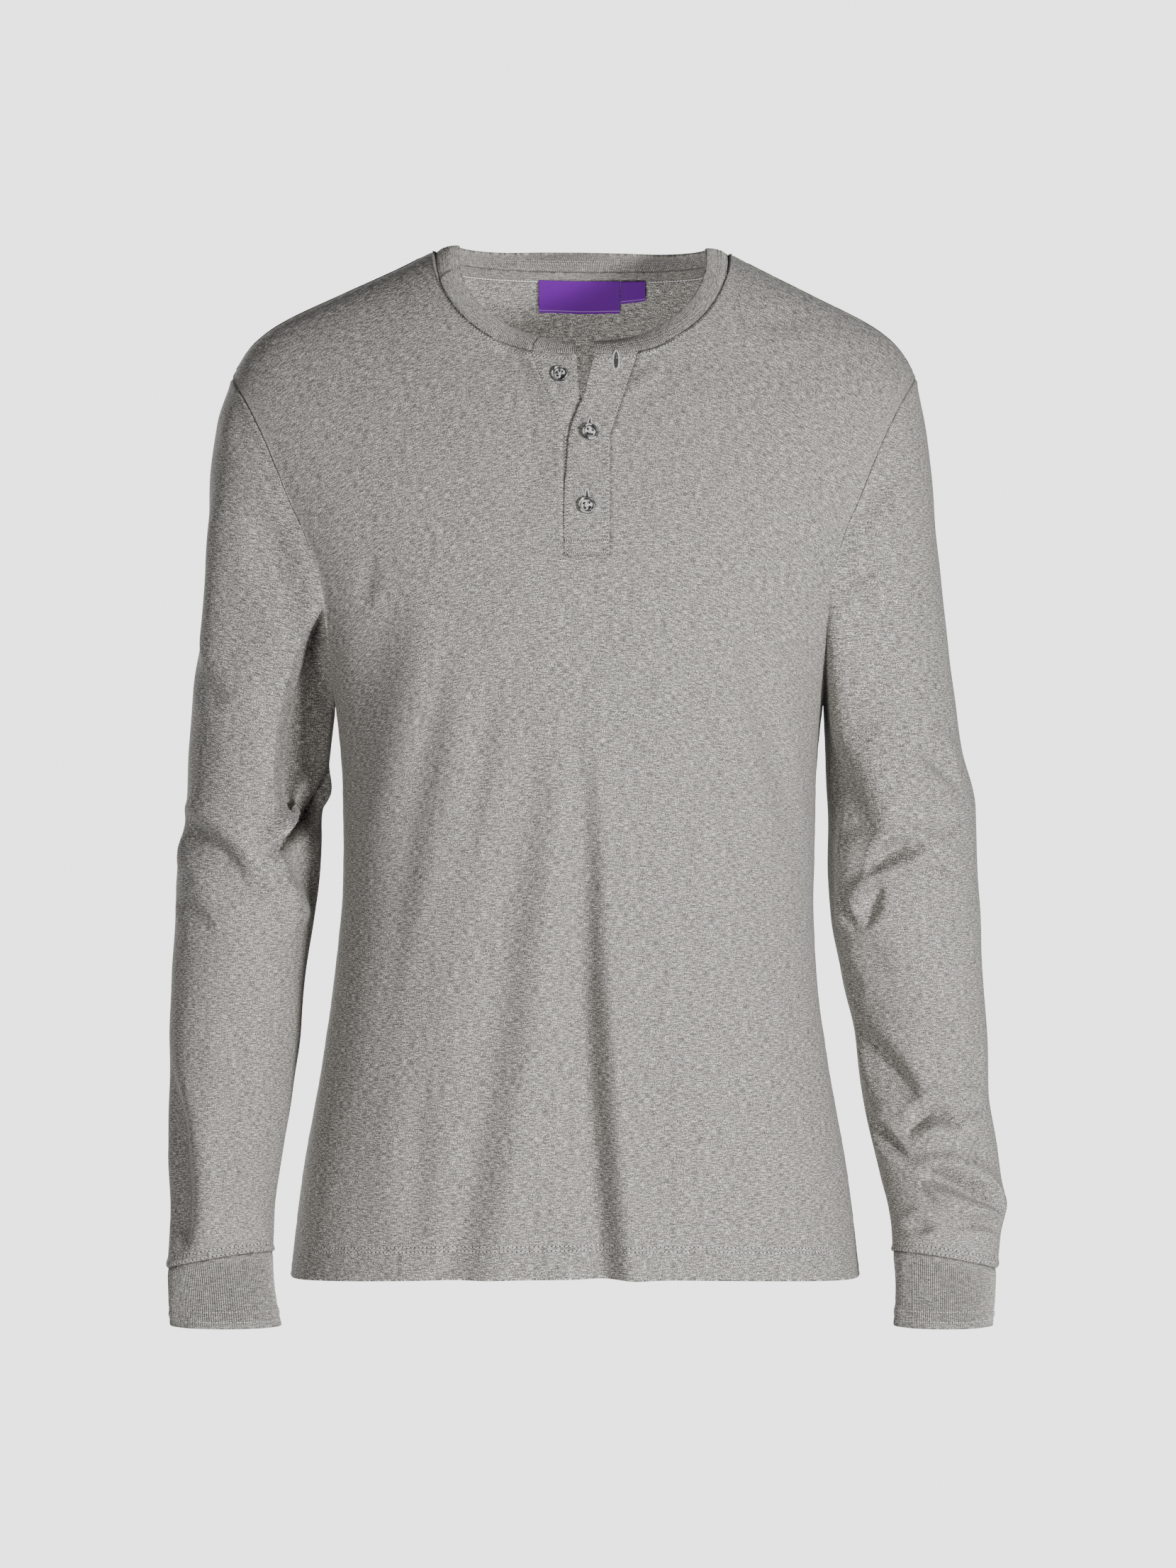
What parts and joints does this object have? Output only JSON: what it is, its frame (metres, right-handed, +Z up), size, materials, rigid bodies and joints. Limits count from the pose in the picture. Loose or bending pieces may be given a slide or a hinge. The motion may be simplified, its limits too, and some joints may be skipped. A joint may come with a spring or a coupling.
{
  "type": "henley shirt",
  "caption": "Long-sleeved henley shirt in heather grey jersey, filled out as if worn, with a buttoned placket, rib neckband and rib cuffs.",
  "frame": {"origin": "midway between the two neck points, where the shoulder seams meet the neckband, in the plane of the shoulder seams: the wearer's shoulders hold the shirt here", "axes": "+Z up, the front of the shirt faces -Y, and the wearer's left sleeve is on +X"},
  "size_m": [0.5738, 0.2557, 0.7394],
  "materials": {
    "front_panel": "heather grey cotton jersey, matt, with a slight soft sheen",
    "back_panel": "heather grey cotton jersey, matt, with a slight soft sheen",
    "sleeve_right": "heather grey cotton jersey, matt, with a slight soft sheen",
    "sleeve_left": "heather grey cotton jersey, matt, with a slight soft sheen",
    "cuff_right": "heather grey fine rib, doubled, matt",
    "cuff_left": "heather grey fine rib, doubled, matt",
    "neckband": "heather grey fine rib, doubled, matt",
    "placket_over": "heather grey cotton jersey, matt, with a slight soft sheen",
    "placket_under": "heather grey cotton jersey, matt, with a slight soft sheen",
    "button_1": "smoky grey pearly plastic, polished",
    "button_2": "smoky grey pearly plastic, polished",
    "button_3": "smoky grey pearly plastic, polished",
    "neck_tape": "heather grey cotton jersey, matt, with a slight soft sheen",
    "neck_label": "purple woven ribbon, satin",
    "size_label": "purple woven ribbon, satin"
  },
  "bodies": {
    "root": {"front_panel": "front_panel", "back_panel": "back_panel", "sleeve_right": "sleeve_right", "sleeve_left": "sleeve_left", "cuff_right": "cuff_right", "cuff_left": "cuff_left", "neckband": "neckband", "placket_over": "placket_over", "placket_under": "placket_under", "button_1": "button_1", "button_2": "button_2", "button_3": "button_3", "neck_tape": "neck_tape", "neck_label": "neck_label", "size_label": "size_label"}
  },
  "joints": []
}
